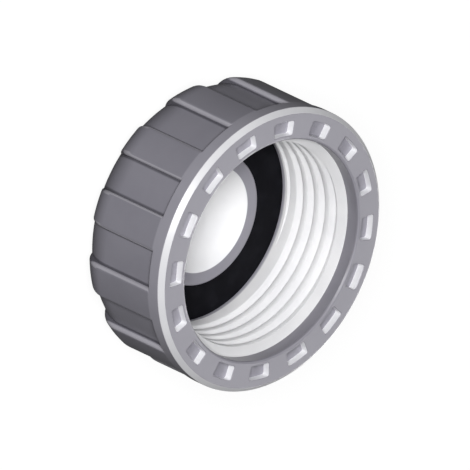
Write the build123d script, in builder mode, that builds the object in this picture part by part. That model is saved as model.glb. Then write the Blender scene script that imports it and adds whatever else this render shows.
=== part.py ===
from build123d import *
from math import radians, tan
import os

# Manifold end plug: a moulded screw cap with a bore for a 1 inch parallel pipe thread, and
# the flat gasket that it seals on. It stands on its closed end: Z is the thread's axis,
# Z = 0 is the back of the closed end, and the open mouth points up. Sizes are in
# millimetres and degrees. Radii are stacked from the bore outwards, and heights from the
# floor upwards.

# Bore for a female pipe thread, G1, at the size of the thread's crests
thread_major_diameter = 33.25
thread_depth = 1.175
thread_length = 12.3
lead_in_angle = 27.5

# Mouth and rim, from the thread outwards
mouth_clearance = 0.125
mouth_depth = 2.3
mouth_chamfer = 0.3
inner_lip_width = 0.75
pocket_width = 2.2
outer_lip_width = 1.8
rim_chamfer = 0.75

# Pockets that core out the face of the rim
pocket_count = 16
pocket_angle = 11.4
pocket_depth = 1.2

# Grips round the outside: raised pads below a full collar, with hollows between them. The
# pads run out on a large rounding towards the closed end.
grip_count = 12
hollow_angle = 15.6
hollow_depth = 0.9
pad_edge_radius = 0.5
collar_height = 2.75
pad_length = 15.45
pad_end_radius = 5.0

# Closed end
floor_thickness = 3.4
back_edge_radius = 7.3

# Boss in the middle of the floor, with a round dish in its face
boss_land_width = 2.0
boss_stand = 0.7
boss_edge_chamfer = 0.25
dish_depth = 4.1

# Gasket, which lies round the boss, held under the edge of the bore
gasket_thickness = 2.0
gasket_width = 5.4
gasket_seat_undercut = 0.2
gasket_seat_headroom = 0.65
gasket_wall_clearance = 0.1
gasket_boss_clearance = 0.15

# Radii
root_radius = thread_major_diameter / 2
bore_radius = root_radius - thread_depth
mouth_radius = root_radius + mouth_clearance
pocket_inner_radius = mouth_radius + inner_lip_width
pocket_outer_radius = pocket_inner_radius + pocket_width
outer_radius = pocket_outer_radius + outer_lip_width
hollow_radius = outer_radius - hollow_depth
seat_radius = bore_radius + gasket_seat_undercut
gasket_outer_radius = seat_radius - gasket_wall_clearance
gasket_inner_radius = gasket_outer_radius - gasket_width
boss_radius = gasket_inner_radius - gasket_boss_clearance
dish_mouth_radius = boss_radius - boss_land_width

# Heights
gasket_top = floor_thickness + gasket_thickness
seat_top = gasket_top + gasket_seat_headroom
boss_top = gasket_top + boss_stand
dish_bottom = boss_top - dish_depth
mouth_bottom = gasket_top + thread_length
overall_height = mouth_bottom + mouth_depth
collar_bottom = overall_height - collar_height
pad_bottom = collar_bottom - pad_length

# The bore opens to the mouth with a lead-in as steep as a thread's flank
lead_in_drop = (mouth_radius - bore_radius) * tan(radians(lead_in_angle))
lead_in_bottom = mouth_bottom - lead_in_drop

# The dish is part of a ball that passes through its mouth's edge and its bottom
dish_ball_radius = (dish_mouth_radius**2 + dish_depth**2) / (2 * dish_depth)

# The pads take the part of each turn that the hollows leave
pad_angle = 360 / grip_count - hollow_angle


def corner_near(section, x, y):
    """The corner of a section that lies nearest to a point."""
    return section.vertices().sort_by_distance((x, y))[0]


def ring_sector(inner_radius, outer_radius, angle):
    """Edges of a piece of a flat ring, centred on the X axis."""
    inner_side = CenterArc((0, 0), inner_radius, -angle / 2, angle)
    outer_side = CenterArc((0, 0), outer_radius, -angle / 2, angle)
    Line(inner_side @ 0, outer_side @ 0)
    Line(inner_side @ 1, outer_side @ 1)


# One pad, rounded where it borders the hollows and at its lower end
with BuildPart() as grip_pad:
    with BuildSketch(Plane.XY.offset(pad_bottom)) as pad_outline:
        with BuildLine():
            ring_sector(mouth_radius, outer_radius, pad_angle)
        make_face()
        fillet(pad_outline.vertices().group_by(Axis.X)[-1], radius=pad_edge_radius)
    extrude(amount=pad_length)
    with BuildSketch(Plane.XZ) as pad_side:
        with Locations((mouth_radius / 2, pad_bottom)):
            Rectangle(
                outer_radius - mouth_radius / 2,
                pad_length,
                align=(Align.MIN, Align.MIN),
            )
        fillet(corner_near(pad_side, outer_radius, pad_bottom), radius=pad_end_radius)
    extrude(amount=outer_radius, both=True, mode=Mode.INTERSECT)

# Cap body, one moulding
with BuildPart() as cap_body:
    # the closed cup, whose wall is the floor of the hollows
    with BuildSketch(Plane.XZ) as cup_section:
        Rectangle(hollow_radius, overall_height, align=(Align.MIN, Align.MIN))
        fillet(corner_near(cup_section, hollow_radius, 0), radius=back_edge_radius)
    revolve(axis=Axis.Z)

    # the collar round its mouth
    with BuildSketch(Plane.XZ) as collar_section:
        with Locations((mouth_radius, collar_bottom)):
            Rectangle(
                outer_radius - mouth_radius,
                collar_height,
                align=(Align.MIN, Align.MIN),
            )
        chamfer(corner_near(collar_section, outer_radius, overall_height), length=rim_chamfer)
    revolve(axis=Axis.Z)

    with PolarLocations(0, grip_count, start_angle=180 / grip_count):
        add(grip_pad.part)

    # everything that is open from the mouth down to the floor and the face of the boss
    with BuildSketch(Plane.XZ) as cavity_section:
        with BuildLine():
            Polyline(
                (0, boss_top),
                (boss_radius, boss_top),
                (boss_radius, floor_thickness),
                (seat_radius, floor_thickness),
                (seat_radius, seat_top),
                (bore_radius, seat_top),
                (bore_radius, lead_in_bottom),
                (mouth_radius, mouth_bottom),
                (mouth_radius, overall_height - mouth_chamfer),
                (mouth_radius + mouth_chamfer, overall_height),
                (0, overall_height),
                close=True,
            )
        make_face()
        chamfer(corner_near(cavity_section, boss_radius, boss_top), length=boss_edge_chamfer)
    revolve(axis=Axis.Z, mode=Mode.SUBTRACT)

    # the dish, cut by a ball whose poles are turned to the sides
    with Locations((0, 0, dish_bottom + dish_ball_radius)):
        Sphere(dish_ball_radius, rotation=(90, 0, 0), mode=Mode.SUBTRACT)

    with BuildSketch(Plane.XY.offset(overall_height - pocket_depth)) as pocket_outline:
        with BuildLine():
            ring_sector(pocket_inner_radius, pocket_outer_radius, pocket_angle)
        make_face()
    pocket = extrude(amount=pocket_depth, mode=Mode.PRIVATE)
    with PolarLocations(0, pocket_count):
        add(pocket, mode=Mode.SUBTRACT)

# Gasket, a flat rubber ring
with BuildPart() as sealing_gasket:
    with BuildSketch(Plane.XY.offset(floor_thickness)):
        Circle(gasket_outer_radius)
        Circle(gasket_inner_radius, mode=Mode.SUBTRACT)
    extrude(amount=gasket_thickness)

os.makedirs("parts", exist_ok=True)
cap_body.part.label = "cap_body"
export_step(cap_body.part, "parts/cap_body.step")
sealing_gasket.part.label = "sealing_gasket"
export_step(sealing_gasket.part, "parts/sealing_gasket.step")
print("outside diameter", 2 * outer_radius, "height", overall_height)
print("solids in the cap body", len(cap_body.solids()))
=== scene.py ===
import bpy
import math
from mathutils import Matrix, Vector


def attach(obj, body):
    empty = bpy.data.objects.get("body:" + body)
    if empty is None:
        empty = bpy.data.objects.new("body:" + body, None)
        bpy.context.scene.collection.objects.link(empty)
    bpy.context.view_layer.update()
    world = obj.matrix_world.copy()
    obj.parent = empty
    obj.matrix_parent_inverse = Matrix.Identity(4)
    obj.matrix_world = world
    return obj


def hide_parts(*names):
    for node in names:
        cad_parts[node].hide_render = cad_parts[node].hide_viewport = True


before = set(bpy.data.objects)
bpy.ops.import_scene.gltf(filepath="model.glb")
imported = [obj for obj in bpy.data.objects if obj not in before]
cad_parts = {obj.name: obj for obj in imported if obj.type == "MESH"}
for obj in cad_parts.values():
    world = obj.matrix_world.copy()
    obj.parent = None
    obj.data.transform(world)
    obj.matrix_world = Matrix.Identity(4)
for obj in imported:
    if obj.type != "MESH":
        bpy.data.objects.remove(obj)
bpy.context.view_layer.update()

mm = 0.001
scene = bpy.context.scene
print("frame loaded")

# camera

cameraSetup = {
    "turn": -28.1,                       # degrees about the cap's axis
    "right": (0.600, 0.427, 0.676),
    "up": (-0.283, 0.904, -0.319),
    "distance": 0.6,
    "clip": (0.01, 10),
    "pixels": 470,                       # the picture is square
    "pixelSize": 0.14286 * mm,
    "rimCentre": (0, 0, 20 * mm),        # this point of the cap ...
    "rimCentreAt": (271.9, 250.9),       # ... lands on this pixel
}


def makeCamera(setup):
    turn = Matrix.Rotation(math.radians(setup["turn"]), 3, "Z")
    right = (turn @ Vector(setup["right"])).normalized()
    up = turn @ Vector(setup["up"])
    back = right.cross(up).normalized()
    up = back.cross(right)
    middle = setup["pixels"] / 2
    across = (setup["rimCentreAt"][0] - middle) * setup["pixelSize"]
    upwards = (middle - setup["rimCentreAt"][1]) * setup["pixelSize"]
    place = Vector(setup["rimCentre"]) - right * across - up * upwards + back * setup["distance"]
    data = bpy.data.cameras.new("camera")
    data.type = "ORTHO"
    data.ortho_scale = setup["pixels"] * setup["pixelSize"]
    data.clip_start, data.clip_end = setup["clip"]
    camera = bpy.data.objects.new("camera", data)
    scene.collection.objects.link(camera)
    camera.matrix_world = Matrix.Translation(place) @ Matrix((right, up, back)).transposed().to_4x4()
    scene.camera = camera
    return back


viewBack = makeCamera(cameraSetup)
scene.view_settings.view_transform = "Standard"
print("camera placed")

# tools for modelling

closeEnough = {
    "place": 0.01,                       # mm
    "merge": 0.001,                      # mm
    "angle": 0.001,                      # radians
}


def deselectAll():
    if bpy.context.object and bpy.context.object.mode != "OBJECT":
        bpy.ops.object.mode_set(mode="OBJECT")
    bpy.ops.object.select_all(action="DESELECT")


def makeActive(obj):
    deselectAll()
    obj.select_set(True)
    bpy.context.view_layer.objects.active = obj


def editAll(obj):
    # goes into edit mode with everything selected
    makeActive(obj)
    bpy.ops.object.mode_set(mode="EDIT")
    bpy.ops.mesh.select_all(action="SELECT")


def clearSelection(obj, kind):
    # ends in object mode, where the selection can be set by place
    makeActive(obj)
    bpy.ops.object.mode_set(mode="EDIT")
    bpy.ops.mesh.select_mode(type=kind)
    bpy.ops.mesh.select_all(action="DESELECT")
    bpy.ops.object.mode_set(mode="OBJECT")


def selectVertices(obj, wanted):
    clearSelection(obj, "VERT")
    for vertex in obj.data.vertices:
        vertex.select = bool(wanted(vertex.co))
    bpy.ops.object.mode_set(mode="EDIT")


def selectEdges(obj, wanted):
    clearSelection(obj, "EDGE")
    vertices = obj.data.vertices
    for edge in obj.data.edges:
        first, second = edge.vertices
        edge.select = bool(wanted(vertices[first].co, vertices[second].co))
    bpy.ops.object.mode_set(mode="EDIT")


def bevelSelected(reach, segments, affect):
    # reach is how far the rounding starts from the corner, in mm
    bpy.ops.mesh.bevel(offset=reach * mm, segments=segments, affect=affect, clamp_overlap=False)


def radiusOf(point):
    return math.hypot(point.x, point.y)


def drawProfile(name, points):
    # a chain of vertices in the XZ plane, extruded one after another; points are (radius, height) in mm
    deselectAll()
    first = points[0]
    bpy.ops.mesh.primitive_plane_add(size=mm, location=(first[0] * mm, 0, first[1] * mm))
    obj = bpy.context.object
    obj.name = name
    bpy.ops.object.mode_set(mode="EDIT")
    bpy.ops.mesh.select_mode(type="VERT")
    bpy.ops.mesh.select_all(action="SELECT")
    bpy.ops.mesh.merge(type="CENTER")
    for before, after in zip(points, points[1:]):
        step = ((after[0] - before[0]) * mm, 0, (after[1] - before[1]) * mm)
        bpy.ops.mesh.extrude_vertices_move(TRANSFORM_OT_translate={"value": step})
    bpy.ops.object.mode_set(mode="OBJECT")
    bpy.ops.object.transform_apply(location=True, rotation=True, scale=True)
    return obj


def roundCorner(obj, corner, reach, segments):
    # rounds one corner of a profile
    place = Vector((corner[0] * mm, 0, corner[1] * mm))
    selectVertices(obj, lambda co: (co - place).length < closeEnough["place"] * mm)
    bevelSelected(reach, segments, "VERTICES")
    bpy.ops.object.mode_set(mode="OBJECT")


def spinProfile(obj, steps, angle=360):
    editAll(obj)
    # spin turns clockwise, so the angle is negative
    bpy.ops.mesh.spin(steps=steps, angle=-math.radians(angle), center=(0, 0, 0), axis=(0, 0, 1))
    bpy.ops.mesh.select_all(action="SELECT")
    bpy.ops.mesh.remove_doubles(threshold=closeEnough["merge"] * mm)
    bpy.ops.mesh.select_all(action="SELECT")
    bpy.ops.mesh.normals_make_consistent(inside=False)
    bpy.ops.object.mode_set(mode="OBJECT")


def drawPlate(name, inner, outer, low, high):
    # a flat face in the XZ plane, the section of a ring, sizes in mm
    deselectAll()
    bpy.ops.mesh.primitive_plane_add(
        size=1, location=((inner + outer) / 2 * mm, 0, (low + high) / 2 * mm),
        rotation=(math.pi / 2, 0, 0))
    obj = bpy.context.object
    obj.name = name
    obj.scale = ((outer - inner) * mm, (high - low) * mm, 1)
    bpy.ops.object.transform_apply(location=True, rotation=True, scale=True)
    return obj


def turnObject(obj, degrees):
    makeActive(obj)
    obj.rotation_euler = (0, 0, math.radians(degrees))
    bpy.ops.object.transform_apply(location=True, rotation=True, scale=True)


def repeatAround(obj, count, firstAngle):
    # copies with their own meshes, joined into one object
    copies = []
    for number in range(1, count):
        copy = obj.copy()
        copy.data = obj.data.copy()
        scene.collection.objects.link(copy)
        turnObject(copy, firstAngle + number * 360 / count)
        copies.append(copy)
    turnObject(obj, firstAngle)
    for copy in copies:
        copy.select_set(True)
    bpy.ops.object.join()
    return obj


def combine(obj, other, operation):
    makeActive(obj)
    modifier = obj.modifiers.new(operation.lower(), "BOOLEAN")
    modifier.operation = operation
    modifier.solver = "EXACT"
    modifier.object = other
    bpy.ops.object.modifier_apply(modifier=modifier.name)
    bpy.data.objects.remove(other)


def volumeOf(obj):
    # in cubic millimetres, from the mesh's own triangles
    mesh = obj.data
    mesh.calc_loop_triangles()
    total = 0
    for triangle in mesh.loop_triangles:
        a, b, c = (mesh.vertices[index].co for index in triangle.vertices)
        total += a.dot(b.cross(c)) / 6
    return round(total / mm ** 3)


def finishSurface(obj, angle):
    makeActive(obj)
    bpy.ops.object.shade_smooth_by_angle(angle=math.radians(angle))
    modifier = obj.modifiers.new("weightedNormal", "WEIGHTED_NORMAL")
    modifier.keep_sharp = True
    bpy.ops.object.modifier_apply(modifier=modifier.name)


# cap body: one moulding; a pair of numbers is a rounding's reach in mm and its segments

bodySize = {
    "steps": 192,
    "smoothAngle": 32,
    "wallRadius": 20.6,
    "collarRadius": 21.5,
    "collarBottom": 17.25,
    "height": 20.0,
    "backRounding": (7.3, 24),
    "collarRounding": (0.25, 5),
    "rimChamfer": 0.75,
    "rimSoftening": (0.09, 3),
    "mouthRadius": 16.75,
    "mouthChamfer": 0.3,
    "mouthSoftening": (0.06, 2),
    "mouthBottom": 17.7,
    "boreRadius": 15.45,
    "leadInBottom": 17.0233,
    "seatRadius": 15.65,
    "seatTop": 6.05,
    "floor": 3.4,
    "bossRadius": 10.0,
    "bossTop": 6.1,
    "bossRounding": (0.25, 5),
    "dishRadius": 8.0,
    "dishBottom": 2.0,
    "dishSteps": 20,
    "dishSoftening": (0.12, 3),
}


def makeBody(size):
    depth = size["bossTop"] - size["dishBottom"]
    ball = (size["dishRadius"] ** 2 + depth ** 2) / (2 * depth)
    arc = math.asin(size["dishRadius"] / ball)
    dish = []
    for step in range(size["dishSteps"], -1, -1):
        angle = arc * step / size["dishSteps"]
        dish.append((ball * math.sin(angle), size["dishBottom"] + ball * (1 - math.cos(angle))))
    top = size["height"]
    chamferStart = (size["collarRadius"], top - size["rimChamfer"])
    chamferEnd = (size["collarRadius"] - size["rimChamfer"], top)
    mouthEdge = (size["mouthRadius"] + size["mouthChamfer"], top)
    corners = [
        (0, 0), (size["wallRadius"], 0), (size["wallRadius"], size["collarBottom"]),
        (size["collarRadius"], size["collarBottom"]), chamferStart, chamferEnd, mouthEdge,
        (size["mouthRadius"], top - size["mouthChamfer"]), (size["mouthRadius"], size["mouthBottom"]),
        (size["boreRadius"], size["leadInBottom"]), (size["boreRadius"], size["seatTop"]),
        (size["seatRadius"], size["seatTop"]), (size["seatRadius"], size["floor"]),
        (size["bossRadius"], size["floor"]), (size["bossRadius"], size["bossTop"])]
    body = drawProfile("capBody", corners + dish)
    roundCorner(body, (size["wallRadius"], 0), *size["backRounding"])
    roundCorner(body, (size["collarRadius"], size["collarBottom"]), *size["collarRounding"])
    roundCorner(body, chamferStart, *size["rimSoftening"])
    roundCorner(body, chamferEnd, *size["rimSoftening"])
    roundCorner(body, mouthEdge, *size["mouthSoftening"])
    roundCorner(body, (size["bossRadius"], size["bossTop"]), *size["bossRounding"])
    roundCorner(body, (size["dishRadius"], size["bossTop"]), *size["dishSoftening"])
    spinProfile(body, size["steps"])
    return body


capBody = makeBody(bodySize)
print("cap body turned,", len(capBody.data.polygons), "faces")

# grip pads, joined to the wall; a smaller innerRadius can make the union drop the whole cup,
# which the printed volume shows

padSize = {
    "count": 12,
    "angle": 14.4,
    "steps": 8,
    "firstAngle": 15,
    "innerRadius": 17.3,
    "spareDepth": 2,
    "outerRadius": 21.49,
    "bottom": 1.8,
    "top": 17.9,
    "endRounding": (5.0, 14),
    "edgeRounding": (0.5, 5),
}


def makePads(size):
    # the plate starts further in, so that there is room for the rounding at its lower end
    inner = size["innerRadius"]
    pad = drawPlate("pads", inner - size["spareDepth"], size["outerRadius"], size["bottom"], size["top"])
    roundCorner(pad, (size["outerRadius"], size["bottom"]), *size["endRounding"])
    editAll(pad)
    bpy.ops.mesh.bisect(plane_co=(inner * mm, 0, 0), plane_no=(1, 0, 0), clear_inner=True)
    bpy.ops.object.mode_set(mode="OBJECT")
    spinProfile(pad, size["steps"], size["angle"])
    turnObject(pad, -size["angle"] / 2)
    side = math.radians(size["angle"] / 2)
    innerSide = (inner + closeEnough["place"]) * mm
    upperEnd = (size["top"] - closeEnough["place"]) * mm

    def onSide(co):
        return abs(abs(math.atan2(co.y, co.x)) - side) < closeEnough["angle"] and co.x > 0

    def onOutline(a, b):
        # the pad's long edges, and their way round its lower end
        if not (onSide(a) and onSide(b) and a.y * b.y > 0):
            return False
        return max(radiusOf(a), radiusOf(b)) > innerSide and min(a.z, b.z) < upperEnd

    selectEdges(pad, onOutline)
    bevelSelected(*size["edgeRounding"], "EDGES")
    bpy.ops.object.mode_set(mode="OBJECT")
    return repeatAround(pad, size["count"], size["firstAngle"])


combine(capBody, makePads(padSize), "UNION")
print("grip pads joined,", len(capBody.data.polygons), "faces,", volumeOf(capBody), "cubic mm")

# pockets in the face of the rim

pocketSize = {
    "count": 16,
    "angle": 11.4,
    "steps": 6,
    "firstAngle": 0,
    "innerRadius": 17.5,
    "outerRadius": 19.7,
    "length": 3.7,                       # along the rim
    "depth": 1.2,
    "cornerRounding": (0.3, 5),
    "edgeSoftening": 0.08,
    "openingRise": 0.24,                 # the softened walls rise and widen by this
}


def makePockets(size, top):
    softStart = top - size["edgeSoftening"]
    pocket = drawPlate(
        "pockets", size["innerRadius"], size["outerRadius"], top - size["depth"], softStart)
    spinProfile(pocket, size["steps"], size["angle"])
    turnObject(pocket, -size["angle"] / 2)
    side = math.radians(size["angle"] / 2)
    near = closeEnough["merge"] * mm

    def isCorner(a, b):
        atSide = abs(abs(math.atan2(a.y, a.x)) - side) < closeEnough["angle"]
        return atSide and abs(a.x - b.x) < near and abs(a.y - b.y) < near

    selectEdges(pocket, isCorner)
    bevelSelected(*size["cornerRounding"], "EDGES")
    # the walls open a little where they meet the rim's face, and go on above it
    selectVertices(pocket, lambda co: co.z > (softStart - closeEnough["place"]) * mm)
    bpy.ops.mesh.select_mode(type="FACE")
    rise = size["openingRise"]
    bpy.ops.mesh.extrude_region_move(TRANSFORM_OT_translate={"value": (0, 0, rise * mm)})
    width = size["outerRadius"] - size["innerRadius"]
    bpy.ops.transform.resize(
        value=(1 + 2 * rise / width, 1 + 2 * rise / size["length"], 1),
        center_override=((size["innerRadius"] + size["outerRadius"]) / 2 * mm, 0, top * mm))
    bpy.ops.object.mode_set(mode="OBJECT")
    return repeatAround(pocket, size["count"], size["firstAngle"])


combine(capBody, makePockets(pocketSize, bodySize["height"]), "DIFFERENCE")
print("pockets cut,", len(capBody.data.polygons), "faces,", volumeOf(capBody), "cubic mm")

# thread: a groove that climbs the bore and fades out over the gasket

threadSize = {
    "pitch": 2.309,
    "rootRadius": 16.625,
    "rootFlat": 0.2,
    "flankAngle": 27.5,
    "crestSoftening": 0.07,
    "crestSlope": 2.2,                   # each side widens by this per mm of radius at the crest
    "reachIntoBore": 0.5,
    "startAngle": -38.0,
    "startHeight": 6.45,
    "runOutTurns": 0.3,
    "turns": 5.45,
    "stepsPerTurn": 192,
}


def makeThreadGroove(size, boreRadius):
    slope = math.tan(math.radians(size["flankAngle"]))
    rootHalf = size["rootFlat"] / 2
    depth = size["rootRadius"] - boreRadius
    soft = size["crestSoftening"]
    edgeHalf = rootHalf + (depth - soft) * slope
    openHalf = edgeHalf + 2 * soft * size["crestSlope"]
    innerEnd = boreRadius - size["reachIntoBore"]
    section = [
        (size["rootRadius"], -rootHalf), (size["rootRadius"], rootHalf),
        (boreRadius + soft, edgeHalf), (boreRadius - soft, openHalf), (innerEnd, openHalf),
        (innerEnd, -openHalf), (boreRadius - soft, -openHalf), (boreRadius + soft, -edgeHalf)]
    section = [(radius, height + size["startHeight"]) for radius, height in section]
    groove = drawProfile("threadGroove", section)
    editAll(groove)
    bpy.ops.mesh.edge_face_add()
    bpy.ops.object.mode_set(mode="OBJECT")
    modifier = groove.modifiers.new("climb", "SCREW")
    modifier.axis = "Z"
    modifier.angle = math.radians(360 * size["turns"])
    modifier.screw_offset = size["pitch"] * size["turns"] * mm
    modifier.steps = modifier.render_steps = round(size["stepsPerTurn"] * size["turns"])
    modifier.use_smooth_shade = False
    bpy.ops.object.modifier_apply(modifier=modifier.name)
    # the start rises out of the wall
    fade = size["runOutTurns"]
    for vertex in groove.data.vertices:
        radius = radiusOf(vertex.co)
        seen = math.degrees(math.atan2(vertex.co.y, vertex.co.x)) / 360
        climbed = (vertex.co.z / mm - size["startHeight"]) / size["pitch"]
        turns = seen + round(climbed - seen)
        if turns < fade:
            lower = (depth + 2 * soft) * (1 - turns / fade) * mm
            vertex.co.x *= (radius - lower) / radius
            vertex.co.y *= (radius - lower) / radius
    turnObject(groove, size["startAngle"])
    editAll(groove)
    bpy.ops.mesh.normals_make_consistent(inside=False)
    bpy.ops.object.mode_set(mode="OBJECT")
    return groove


combine(capBody, makeThreadGroove(threadSize, bodySize["boreRadius"]), "DIFFERENCE")
finishSurface(capBody, bodySize["smoothAngle"])
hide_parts("cap_body")
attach(capBody, "root")
print("thread cut,", len(capBody.data.polygons), "faces,", volumeOf(capBody), "cubic mm")

# gasket

gasketSize = {
    "innerRadius": 10.15,
    "outerRadius": 15.55,
    "bottom": 3.4,
    "top": 5.4,
    "edgeRounding": (0.12, 4),
    "steps": 160,
    "smoothAngle": 32,
}


def makeGasket(size):
    gasket = drawPlate("gasketRing", size["innerRadius"], size["outerRadius"], size["bottom"], size["top"])
    editAll(gasket)
    bpy.ops.mesh.delete(type="ONLY_FACE")
    bpy.ops.mesh.select_mode(type="VERT")
    bpy.ops.mesh.select_all(action="SELECT")
    bevelSelected(*size["edgeRounding"], "VERTICES")
    bpy.ops.object.mode_set(mode="OBJECT")
    spinProfile(gasket, size["steps"])
    finishSurface(gasket, size["smoothAngle"])
    return gasket


gasketRing = makeGasket(gasketSize)
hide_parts("sealing_gasket")
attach(gasketRing, "root")
print("gasket made,", len(gasketRing.data.polygons), "faces")

# materials


class Wire:
    # a socket's value, so that shader maths reads as plain sums

    def __init__(self, shader, socket):
        self.shader = shader
        self.socket = socket

    def maths(self, operation, first, second=None):
        inputs = {0: first}
        if second is not None:
            inputs[1] = second
        return self.shader.node("ShaderNodeMath", {"operation": operation}, inputs)

    def __add__(self, other):
        return self.maths("ADD", self, other)

    def __radd__(self, other):
        return self.maths("ADD", other, self)

    def __sub__(self, other):
        return self.maths("SUBTRACT", self, other)

    def __rsub__(self, other):
        return self.maths("SUBTRACT", other, self)

    def __mul__(self, other):
        return self.maths("MULTIPLY", self, other)

    def __rmul__(self, other):
        return self.maths("MULTIPLY", other, self)

    def root(self):
        return self.maths("SQRT", self)

    def most(self, other):
        return self.maths("MAXIMUM", self, other)

    def size(self):
        return self.maths("ABSOLUTE", self)

    def fold(self, span):
        # runs from 0 up to span and back again
        return self.maths("PINGPONG", self, span)

    def above(self, border):
        # 0 before the border and 1 after it, smooth across it; a border is (start, end)
        return self.shader.node(
            "ShaderNodeMapRange", {"interpolation_type": "SMOOTHSTEP"},
            {"Value": self, "From Min": border[0], "From Max": border[1]})

    def below(self, border):
        return 1 - self.above(border)

    def between(self, first, last):
        return self.above(first) * self.below(last)


class Shader:
    # the nodes of a material or of the world

    def __init__(self, owner, outputKind="ShaderNodeOutputMaterial"):
        self.owner = owner
        self.owner.use_nodes = True
        self.tree = self.owner.node_tree
        self.tree.nodes.clear()
        self.output = self.tree.nodes.new(outputKind)

    def node(self, kind, settings=None, inputs=None, output=0):
        made = self.tree.nodes.new(kind)
        for name, value in (settings or {}).items():
            setattr(made, name, value)
        for name, value in (inputs or {}).items():
            socket = made.inputs[name]
            if isinstance(value, Wire):
                self.tree.links.new(value.socket, socket)
            elif socket.type == "RGBA":
                socket.default_value = (*value, 1)
            else:
                socket.default_value = value
        return Wire(self, made.outputs[output])

    def noise(self, where, scale, detail):
        return self.node("ShaderNodeTexNoise", inputs={"Vector": where, "Scale": scale, "Detail": detail})

    def mix(self, share, first, second, blend="MIX"):
        # colours; the Mix node's colour sockets are 6 and 7, and its colour output is 2
        return self.node(
            "ShaderNodeMix", {"data_type": "RGBA", "blend_type": blend}, {0: share, 6: first, 7: second}, 2)

    def finish(self, wire):
        self.tree.links.new(wire.socket, self.output.inputs["Surface"])
        return self.owner


plasticLook = {
    "outside": (0.335, 0.326, 0.370),
    "grips": (0.250, 0.243, 0.280),
    # painted highlight on the pads' rounded edges
    "padEdgeHighlight": (0.40, 0.39, 0.43),
    # painted light: the thread zone is painted pale
    "inside": (0.85, 0.85, 0.86),
    # painted light: the dish is painted pale
    "dish": (0.93, 0.93, 0.94),
    # painted shade on the mouth wall
    "mouthWallShade": (0.215, 0.208, 0.238),
    # painted highlight on the pockets' walls
    "pocketWallHighlight": (0.86, 0.86, 0.88),
    # painted highlight on the rim's chamfer
    "chamfer": (0.80, 0.80, 0.82),
    "chamferShare": 0.9,
    # painted shade in the creases where the hollows end
    "creaseShade": (0.085, 0.082, 0.098),
    "creaseShadeShare": 0.85,
    "clouds": (0.90, 0.90, 0.91),        # darken the tone under them
    "cloudShare": 0.6,
    "cloudScale": 160.0,
    "cloudDetail": 3.0,
    "cloudBorder": (0.35, 0.65),
    "cloudRoughness": 0.12,
    "grainScale": 5200.0,
    "grainDetail": 2.0,
    "grainHeight": 0.006,                # mm
    "grainStrength": 0.35,
    "grainRoughness": 0.10,
    "roughness": 0.34,
    "insideRoughness": 0.26,             # added to the roughness inside
    "gloss": 0.6,
    "refraction": 1.5,
    # radii in mm, each a soft border (start, end)
    "dishOuter": (8.00, 8.10),
    "threadInner": (12.0, 12.1),
    "threadOuter": (17.00, 17.06),
    "mouthWallInner": (16.4, 16.5),
    "mouthWallOuter": (16.82, 16.90),
    "pocketInner": (17.2, 17.3),
    "pocketOuter": (19.9, 20.0),
    "gripInner": (17.2, 17.4),
    "creaseInner": (18.6, 19.4),
    "creaseOuter": (20.72, 20.82),
    "padEdgeInner": (20.85, 20.95),
    "padEdgeOuter": (21.40, 21.47),
    "chamferInner": (20.70, 20.80),
    # heights in mm
    "dishBottom": (0.7, 1.3),
    "threadBottom": (5.5, 6.0),
    "mouthBottom": (17.70, 17.76),
    "gripTop": (17.0, 17.3),
    "padTop": (17.1, 17.3),
    "collarCreaseBottom": (16.85, 17.05),
    "collarCreaseTop": (17.25, 17.35),
    "pocketBottom": (18.4, 18.5),
    "pocketTop": (19.94, 19.98),
    "chamferBottom": (19.20, 19.30),
    # degrees round the cap, from a pad's side
    "creaseReach": (0.45, 1.25),
    "hollowSoftness": 0.2,
    "padEdgeMiddle": 0.6,
    "padEdgeReach": (0.75, 1.05),
    # the upward share of the normal, over which a face is no longer a wall
    "steepness": (0.5, 0.8),
}


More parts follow.
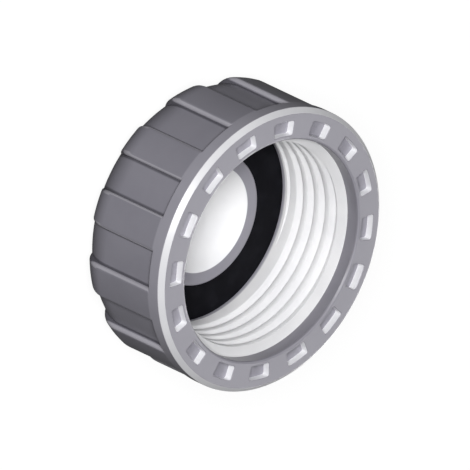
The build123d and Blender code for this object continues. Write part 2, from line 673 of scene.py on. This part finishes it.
def makePlastic(look):
    shader = Shader(bpy.data.materials.new("mouldedPlastic"))
    where = shader.node("ShaderNodeTexCoord", output="Object")
    normal = shader.node("ShaderNodeTexCoord", output="Normal")
    x, y, z = (shader.node("ShaderNodeSeparateXYZ", inputs={0: where}, output=axis) for axis in range(3))
    up = shader.node("ShaderNodeSeparateXYZ", inputs={0: normal}, output=2)
    radius = (x * x + y * y).root() * (1 / mm)
    height = z * (1 / mm)
    # painted light: the thread with its lead-in, and the dish, are painted pale for the brightness they
    # show facing the lamp; the mouth above them is not
    threaded = radius.between(look["threadInner"], look["threadOuter"])
    threaded = threaded * height.between(look["threadBottom"], look["mouthBottom"])
    dish = radius.below(look["dishOuter"]) * height.above(look["dishBottom"])
    # painted highlight: the chamfer band round the rim is painted pale
    chamfer = radius.above(look["chamferInner"]) * height.above(look["chamferBottom"])
    pocket = radius.between(look["pocketInner"], look["pocketOuter"])
    pocket = pocket * height.between(look["pocketBottom"], look["pocketTop"])
    # painted highlight: the pockets' steep walls are painted pale
    pocketWallHighlight = pocket * up.size().below(look["steepness"])
    # painted shade: the mouth wall above the thread is painted darker than the outside
    mouthWallShade = radius.between(look["mouthWallInner"], look["mouthWallOuter"])
    mouthWallShade = mouthWallShade * height.above(look["mouthBottom"])
    # the grips below the collar are a little darker than the collar and the rim
    grips = radius.above(look["gripInner"]) * height.below(look["gripTop"])
    # painted shade: dark lines where the hollows end, at the pads' sides and under the collar
    fromHollow = (y.maths("ARCTAN2", y, x) * (180 / math.pi)).fold(180 / padSize["count"])
    padSide = 180 / padSize["count"] - padSize["angle"] / 2
    belowCollar = height.below(look["padTop"])
    atSide = (fromHollow - padSide).size().below(look["creaseReach"]) * belowCollar
    inHollow = fromHollow.below((padSide - look["hollowSoftness"], padSide + look["hollowSoftness"]))
    underCollar = inHollow * height.between(look["collarCreaseBottom"], look["collarCreaseTop"])
    creaseShade = atSide.most(underCollar) * radius.between(look["creaseInner"], look["creaseOuter"])
    # painted highlight: the rounded edges of the pads are painted a little paler, where their rounding
    # would catch the light
    padEdgeHighlight = (fromHollow - padSide - look["padEdgeMiddle"]).size().below(look["padEdgeReach"])
    padEdgeHighlight = padEdgeHighlight * belowCollar * radius.between(look["padEdgeInner"], look["padEdgeOuter"])
    base = shader.mix(grips, look["outside"], look["grips"])
    base = shader.mix(creaseShade * look["creaseShadeShare"], base, look["creaseShade"])
    base = shader.mix(padEdgeHighlight, base, look["padEdgeHighlight"])
    base = shader.mix(mouthWallShade, base, look["mouthWallShade"])
    base = shader.mix(threaded, base, look["inside"])
    # painted light: the dish is painted pale
    base = shader.mix(dish, base, look["dish"])
    base = shader.mix(pocketWallHighlight, base, look["pocketWallHighlight"])
    base = shader.mix(chamfer * look["chamferShare"], base, look["chamfer"])
    clouds = shader.noise(where, look["cloudScale"], look["cloudDetail"])
    grain = shader.noise(where, look["grainScale"], look["grainDetail"])
    darker = shader.mix(1.0, base, look["clouds"], "MULTIPLY")
    base = shader.mix(clouds.above(look["cloudBorder"]) * look["cloudShare"], base, darker)
    rough = look["roughness"] + threaded.most(dish) * look["insideRoughness"]
    rough = rough + (clouds - 0.5) * look["cloudRoughness"] + (grain - 0.5) * look["grainRoughness"]
    bump = shader.node("ShaderNodeBump", inputs={
        "Strength": look["grainStrength"], "Distance": look["grainHeight"] * mm, "Height": grain})
    return shader.finish(shader.node("ShaderNodeBsdfPrincipled", inputs={
        "Base Color": base, "Roughness": rough, "Normal": bump, "IOR": look["refraction"],
        "Specular IOR Level": look["gloss"]}))


rubberLook = {
    "tone": (0.003, 0.003, 0.005),
    "dust": (0.007, 0.007, 0.010),
    "dustScale": 420.0,
    "dustDetail": 4.0,
    "dustBorder": (0.40, 0.70),
    "dustRoughness": 0.16,
    "grainScale": 4200.0,
    "grainDetail": 2.0,
    "grainHeight": 0.012,                # mm
    "grainStrength": 0.4,
    "roughness": 0.70,
    "gloss": 0.12,
}


def makeRubber(look):
    shader = Shader(bpy.data.materials.new("gasketRubber"))
    where = shader.node("ShaderNodeTexCoord", output="Object")
    dust = shader.noise(where, look["dustScale"], look["dustDetail"])
    grain = shader.noise(where, look["grainScale"], look["grainDetail"])
    base = shader.mix(dust.above(look["dustBorder"]), look["tone"], look["dust"])
    rough = look["roughness"] + (dust - 0.5) * look["dustRoughness"]
    bump = shader.node("ShaderNodeBump", inputs={
        "Strength": look["grainStrength"], "Distance": look["grainHeight"] * mm, "Height": grain})
    return shader.finish(shader.node("ShaderNodeBsdfPrincipled", inputs={
        "Base Color": base, "Roughness": rough, "Normal": bump, "Specular IOR Level": look["gloss"]}))


def dress(obj, material):
    obj.data.materials.clear()
    obj.data.materials.append(material)


dress(capBody, makePlastic(plasticLook))
dress(gasketRing, makeRubber(rubberLook))
print("materials made")

# floor, world and lamps

studio = {
    "floorSize": 3,
    "floorDrop": 0.02 * mm,
    "floorTone": (0.12, 0.12, 0.12),
    "floorGlow": 0.92,
    "white": (1, 1, 1),
    "worldLevel": 0.035,
    "backdropLevel": 1,
    "lampTarget": (0, 0, 11 * mm),
    "lampDistance": 0.5,
    "keyLevel": 1.05,
    "keySize": 0.16,
    "backLevel": 0.70,
    "backDirection": (0.838, -0.447, 0.25),
    "backSize": 0.30,
}


def makeFloor(look):
    deselectAll()
    bpy.ops.mesh.primitive_plane_add(size=look["floorSize"], location=(0, 0, -look["floorDrop"]))
    floor = bpy.context.object
    floor.name = "floor"
    bpy.ops.object.transform_apply(location=True, rotation=True, scale=True)
    shader = Shader(bpy.data.materials.new("paleFloor"))
    plain = shader.node("ShaderNodeBsdfDiffuse", inputs={"Color": look["floorTone"]})
    glow = shader.node(
        "ShaderNodeEmission", inputs={"Color": look["white"], "Strength": look["floorGlow"]})
    both = shader.node("ShaderNodeAddShader", inputs={0: plain, 1: glow})
    seen = shader.node("ShaderNodeLightPath", output="Is Camera Ray")
    dress(floor, shader.finish(shader.node("ShaderNodeMixShader", inputs={0: seen, 1: plain, 2: both})))


def makeWorld(look):
    scene.world = bpy.data.worlds.new("studio")
    shader = Shader(scene.world, "ShaderNodeOutputWorld")
    soft, backdrop = (
        shader.node("ShaderNodeBackground", inputs={"Color": look["white"], "Strength": look[level]})
        for level in ("worldLevel", "backdropLevel"))
    seen = shader.node("ShaderNodeLightPath", output="Is Camera Ray")
    shader.finish(shader.node("ShaderNodeMixShader", inputs={0: seen, 1: soft, 2: backdrop}))


def addLamp(name, direction, size, level, look):
    # level is the light that a white face turned to the lamp sends back, where 1 is white
    lamp = bpy.data.lights.new(name, "AREA")
    lamp.shape = "DISK"
    lamp.size = size
    lamp.energy = level * math.pi ** 2 * look["lampDistance"] ** 2
    obj = bpy.data.objects.new(name, lamp)
    scene.collection.objects.link(obj)
    direction = Vector(direction).normalized()
    obj.location = Vector(look["lampTarget"]) + direction * look["lampDistance"]
    obj.rotation_euler = direction.to_track_quat("Z", "Y").to_euler()
    obj.visible_camera = False


makeFloor(studio)
makeWorld(studio)
addLamp("keyLamp", viewBack, studio["keySize"], studio["keyLevel"], studio)
addLamp("backLamp", studio["backDirection"], studio["backSize"], studio["backLevel"], studio)
print("studio made")
